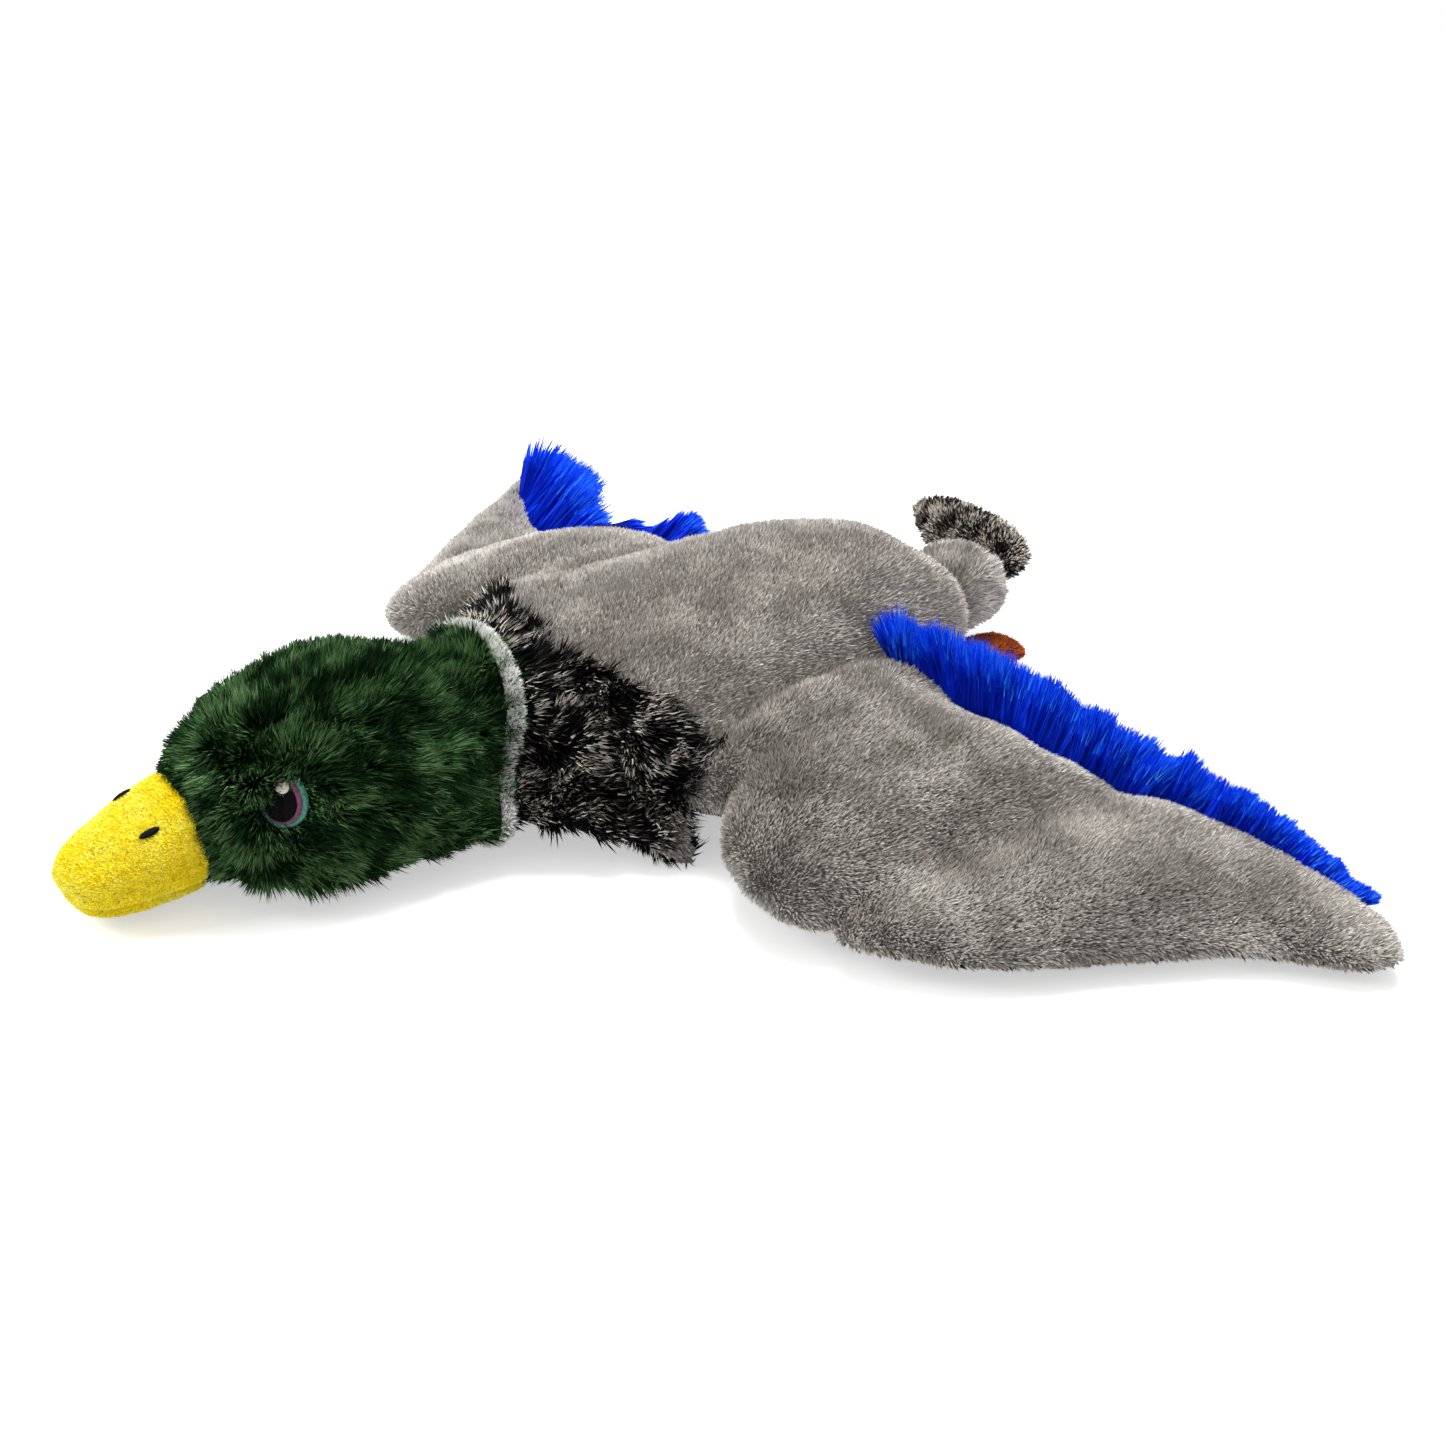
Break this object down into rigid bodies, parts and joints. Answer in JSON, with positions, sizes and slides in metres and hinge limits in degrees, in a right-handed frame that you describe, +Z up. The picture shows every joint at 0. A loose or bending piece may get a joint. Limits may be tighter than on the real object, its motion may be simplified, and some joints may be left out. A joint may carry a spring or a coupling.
{
  "type": "plush duck toy",
  "caption": "Plush mallard duck lying on its belly with its wings spread: green head, yellow bill, black fur chest, grey body and blue fringes, with squeakers inside.",
  "frame": {"origin": "centre of the flat underside of the belly, which rests on the ground", "axes": "+Z up, -Y towards the bill, +Y towards the tail, +X along the duck's own left wing"},
  "size_m": [0.621, 0.512, 0.0802],
  "materials": {
    "grey_plush": "short warm grey plush",
    "green_plush": "long deep green plush",
    "black_fur": "long black fur with pale tips",
    "mottled_plush": "short dark mottled plush",
    "mottled_fur": "mottled black, grey and cream fur",
    "white_plush": "short white plush",
    "yellow_plush": "very short yellow plush",
    "orange_plush": "short orange plush",
    "blue_fringe": "long royal blue pile",
    "teal_thread": "embroidery thread",
    "purple_thread": "embroidery thread",
    "black_thread": "embroidery thread",
    "cream_thread": "embroidery thread",
    "fibre_filling": "loose white fibre filling",
    "crinkle_film": "thin crackling film",
    "squeaker_shell": "soft moulded plastic",
    "squeaker_reed": "moulded plastic"
  },
  "bodies": {
    "torso": {"back_panel": "grey_plush", "belly_panel": "mottled_plush", "body_filling_lower": "fibre_filling", "body_filling_upper": "fibre_filling", "body_squeaker_cup": "squeaker_shell", "body_squeaker_reed": "squeaker_reed"},
    "head": {"bill_filling": "fibre_filling", "bill_lower_panel": "yellow_plush", "bill_upper_panel": "yellow_plush", "eye_left_glint": "cream_thread", "eye_left_iris": "purple_thread", "eye_left_pupil": "black_thread", "eye_left_ring": "teal_thread", "eye_right_glint": "cream_thread", "eye_right_iris": "purple_thread", "eye_right_pupil": "black_thread", "eye_right_ring": "teal_thread", "head_chin_panel": "green_plush", "head_crown_panel": "green_plush", "head_filling_lower": "fibre_filling", "head_filling_upper": "fibre_filling", "head_squeaker_cup": "squeaker_shell", "head_squeaker_reed": "squeaker_reed", "nostril_left": "black_thread", "nostril_right": "black_thread"},
    "body_squeaker_button": {"body_squeaker_dome": "squeaker_shell"},
    "neck": {"chest_filling": "fibre_filling", "chest_lower_panel": "black_fur", "chest_upper_panel": "black_fur", "neck_ring": "white_plush"},
    "left_foot": {"foot_left": "orange_plush"},
    "right_foot": {"foot_right": "orange_plush"},
    "head_squeaker_button": {"head_squeaker_dome": "squeaker_shell"},
    "left_wing": {"left_wing_filling": "fibre_filling", "left_wing_film": "crinkle_film", "left_wing_fringe": "blue_fringe", "left_wing_lower_panel": "mottled_plush", "left_wing_upper_panel": "grey_plush"},
    "left_wing_tip": {"left_wingtip_filling": "fibre_filling", "left_wingtip_film": "crinkle_film", "left_wingtip_fringe": "blue_fringe", "left_wingtip_lower_panel": "mottled_plush", "left_wingtip_upper_panel": "grey_plush"},
    "right_wing": {"right_wing_filling": "fibre_filling", "right_wing_film": "crinkle_film", "right_wing_fringe": "blue_fringe", "right_wing_lower_panel": "mottled_plush", "right_wing_upper_panel": "grey_plush"},
    "right_wing_tip": {"right_wingtip_filling": "fibre_filling", "right_wingtip_film": "crinkle_film", "right_wingtip_fringe": "blue_fringe", "right_wingtip_lower_panel": "mottled_plush", "right_wingtip_upper_panel": "grey_plush"},
    "tail": {"tail_fan": "mottled_fur", "tail_filling": "fibre_filling", "tail_lower_panel": "mottled_plush", "tail_upper_panel": "grey_plush"}
  },
  "joints": [
    {"name": "neck_swing", "type": "hinge", "parent": "torso", "child": "neck", "pos_m": [0, -0.152, 0.036], "axis": [0, 0, 1], "range_deg": [-28, 28]},
    {"name": "head_nod", "type": "hinge", "parent": "neck", "child": "head", "pos_m": [0, -0.19, 0.036], "axis": [-1, 0, 0], "range_deg": [-20, 22]},
    {"name": "left_wing_flap", "type": "hinge", "parent": "torso", "child": "left_wing", "pos_m": [0.1055, -0.041, 0.03], "axis": [0, -1, 0], "range_deg": [-20, 65]},
    {"name": "left_wing_fold", "type": "hinge", "parent": "left_wing", "child": "left_wing_tip", "pos_m": [0.203, -0.03, 0.014], "axis": [0, -1, 0], "range_deg": [-40, 85]},
    {"name": "right_wing_flap", "type": "hinge", "parent": "torso", "child": "right_wing", "pos_m": [-0.1055, -0.041, 0.03], "axis": [0, 1, 0], "range_deg": [-20, 65]},
    {"name": "right_wing_fold", "type": "hinge", "parent": "right_wing", "child": "right_wing_tip", "pos_m": [-0.203, -0.03, 0.014], "axis": [0, 1, 0], "range_deg": [-40, 85]},
    {"name": "tail_lift", "type": "hinge", "parent": "torso", "child": "tail", "pos_m": [0, 0.102, 0.032], "axis": [1, 0, 0], "range_deg": [0, 38]},
    {"name": "left_foot_drop", "type": "hinge", "parent": "torso", "child": "left_foot", "pos_m": [0.025, 0.099, 0.0075], "axis": [-1, 0, 0], "range_deg": [0, 70]},
    {"name": "right_foot_drop", "type": "hinge", "parent": "torso", "child": "right_foot", "pos_m": [-0.047, 0.099, 0.0075], "axis": [-1, 0, 0], "range_deg": [0, 70]},
    {"name": "body_squeaker_press", "type": "slide", "parent": "torso", "child": "body_squeaker_button", "axis": [0, 0, -1], "range_m": [0, 0.004], "stiffness_N_per_m": 400},
    {"name": "head_squeaker_press", "type": "slide", "parent": "head", "child": "head_squeaker_button", "axis": [0, 0, -1], "range_m": [0, 0.004], "stiffness_N_per_m": 400}
  ]
}
